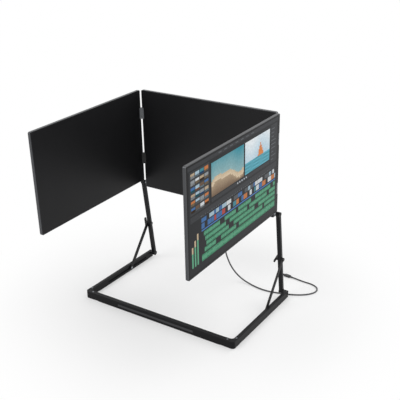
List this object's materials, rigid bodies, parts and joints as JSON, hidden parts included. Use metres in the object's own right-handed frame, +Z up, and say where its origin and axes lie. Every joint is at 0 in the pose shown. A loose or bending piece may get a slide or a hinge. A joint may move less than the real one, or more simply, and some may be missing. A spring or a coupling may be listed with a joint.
{
  "type": "laptop screen extender",
  "caption": "Black folding laptop screen extender: three slim panels joined by double hinges on a U-shaped stand with leaning posts, braces and a short lead",
  "frame": {"origin": "underside of the front rubber foot, below the middle of the cross bar", "axes": "+Z up from the table, +Y from the cross bar to the open ends of the side bars, +X to the right seen from the cross bar"},
  "size_m": [0.5143, 0.5666, 0.5229],
  "materials": {
    "bar_black": "satin black powder coat",
    "post_black": "satin black powder coat",
    "inlay_grey": "fine matte",
    "rubber_black": "matte",
    "pin_steel": "brushed",
    "bolt_black": "black oxide",
    "cover_black": "anodised matte near-black",
    "frame_grey": "anodised dark grey",
    "glass_black": "clear glass with black border behind",
    "panel_plastic": "display panel",
    "board_green": "circuit board",
    "chin_plastic": "fine matte",
    "button_plastic": "smooth matte",
    "hinge_grey": "satin grey",
    "hinge_black": "satin black",
    "cable_grey": "matte",
    "plug_black": "fine matte"
  },
  "bodies": {
    "base": {"cross_bar": "bar_black", "cross_bar_inlay": "inlay_grey", "corner_left": "bar_black", "corner_right": "bar_black", "corner_screws": "pin_steel", "side_bar_left": "bar_black", "side_bar_right": "bar_black", "bar_end_left": "bar_black", "bar_end_right": "bar_black", "foot_front": "rubber_black", "foot_left": "rubber_black", "foot_right": "rubber_black", "post_pin_left": "pin_steel", "post_pin_right": "pin_steel", "cable": "cable_grey", "cable_plug_lower": "plug_black"},
    "post_left_body": {"post_left": "post_black", "post_head_left": "post_black", "brace_bolt_left": "bolt_black"},
    "brace_left_body": {"brace_left": "post_black", "brace_rivet_left": "bolt_black"},
    "wing_nut_left_body": {"wing_nut_left": "bolt_black"},
    "post_right_body": {"post_right": "post_black", "post_head_right": "post_black", "brace_bolt_right": "bolt_black"},
    "brace_right_body": {"brace_right": "post_black", "brace_rivet_right": "bolt_black"},
    "wing_nut_right_body": {"wing_nut_right": "bolt_black"},
    "centre_screen": {"edge_frame_centre": "frame_grey", "rear_cover_centre": "cover_black", "front_glass_centre": "glass_black", "chin_cover_centre": "chin_plastic", "display_centre": "panel_plastic", "circuit_board_centre": "board_green", "usb_sockets": "pin_steel", "hinge_pins_centre": "pin_steel", "tilt_pin_left": "pin_steel", "tilt_pin_right": "pin_steel", "cable_plug_upper": "plug_black"},
    "centre_button": {"power_button_centre": "button_plastic"},
    "links_left": {"hinge_link_low_left": "hinge_black", "hinge_link_high_left": "hinge_grey"},
    "left_screen": {"edge_frame_left": "frame_grey", "rear_cover_left": "cover_black", "front_glass_left": "glass_black", "display_left": "panel_plastic", "circuit_board_left": "board_green", "hinge_pins_left": "pin_steel"},
    "left_button": {"power_button_left": "button_plastic"},
    "links_right": {"hinge_link_low_right": "hinge_grey", "hinge_link_high_right": "hinge_grey"},
    "right_screen": {"edge_frame_right": "frame_grey", "rear_cover_right": "cover_black", "front_glass_right": "glass_black", "display_right": "panel_plastic", "circuit_board_right": "board_green", "hinge_pins_right": "pin_steel"},
    "right_button": {"power_button_right": "button_plastic"}
  },
  "joints": [
    {"name": "lean_left", "type": "hinge", "parent": "base", "child": "post_left_body", "pos_m": [-0.2115, 0.2795, 0.017], "axis": [1, 0, 0], "range_deg": [-5, 30]},
    {"name": "brace_swing_left", "type": "hinge", "parent": "post_left_body", "child": "brace_left_body", "pos_m": [-0.21875, 0.26304, 0.1207], "axis": [1, 0, 0], "range_deg": [-43.59, 7.68]},
    {"name": "wing_nut_turn_left", "type": "hinge", "parent": "post_left_body", "child": "wing_nut_left_body", "pos_m": [-0.223, 0.26304, 0.1207], "axis": [1, 0, 0], "range_deg": [-180, 180]},
    {"name": "lean_right", "type": "hinge", "parent": "base", "child": "post_right_body", "pos_m": [0.2115, 0.2795, 0.017], "axis": [1, 0, 0], "range_deg": [-5, 30]},
    {"name": "brace_swing_right", "type": "hinge", "parent": "post_right_body", "child": "brace_right_body", "pos_m": [0.21875, 0.26304, 0.1207], "axis": [1, 0, 0], "range_deg": [-43.59, 7.68]},
    {"name": "wing_nut_turn_right", "type": "hinge", "parent": "post_right_body", "child": "wing_nut_right_body", "pos_m": [0.203, 0.26304, 0.1207], "axis": [1, 0, 0], "range_deg": [-180, 180]},
    {"name": "screen_tilt", "type": "hinge", "parent": "post_left_body", "child": "centre_screen", "pos_m": [0, 0.24151, 0.2563], "axis": [1, 0, 0], "range_deg": [-20, 20]},
    {"name": "fold_left", "type": "hinge", "parent": "centre_screen", "child": "links_left", "pos_m": [-0.1995, 0.23788, 0.39486], "axis": [0, -0.0262, 0.9997], "range_deg": [-95, 45]},
    {"name": "fold_outer_left", "type": "hinge", "parent": "links_left", "child": "left_screen", "pos_m": [-0.20716, 0.23023, 0.39466], "axis": [0, -0.0262, 0.9997], "range_deg": [-95, 45]},
    {"name": "fold_right", "type": "hinge", "parent": "centre_screen", "child": "links_right", "pos_m": [0.1995, 0.23788, 0.39486], "axis": [0, 0.0262, -0.9997], "range_deg": [-135, 5]},
    {"name": "fold_outer_right", "type": "hinge", "parent": "links_right", "child": "right_screen", "pos_m": [0.20716, 0.23023, 0.39466], "axis": [0, 0.0262, -0.9997], "range_deg": [-135, 5]},
    {"name": "press_centre", "type": "slide", "parent": "centre_screen", "child": "centre_button", "axis": [0, -0.0262, 0.9997], "range_m": [0, 0.0005], "stiffness_N_per_m": 400},
    {"name": "press_left", "type": "slide", "parent": "left_screen", "child": "left_button", "axis": [0, -0.0262, 0.9997], "range_m": [0, 0.0005], "stiffness_N_per_m": 400},
    {"name": "press_right", "type": "slide", "parent": "right_screen", "child": "right_button", "axis": [0, -0.0262, 0.9997], "range_m": [0, 0.0005], "stiffness_N_per_m": 400}
  ],
  "couplings": [
    {"joint": "lean_right", "follows": "lean_left", "ratio": 1},
    {"joint": "brace_swing_left", "follows": "lean_left", "ratio": -1.4362},
    {"joint": "brace_swing_right", "follows": "lean_left", "ratio": -1.4362}
  ]
}
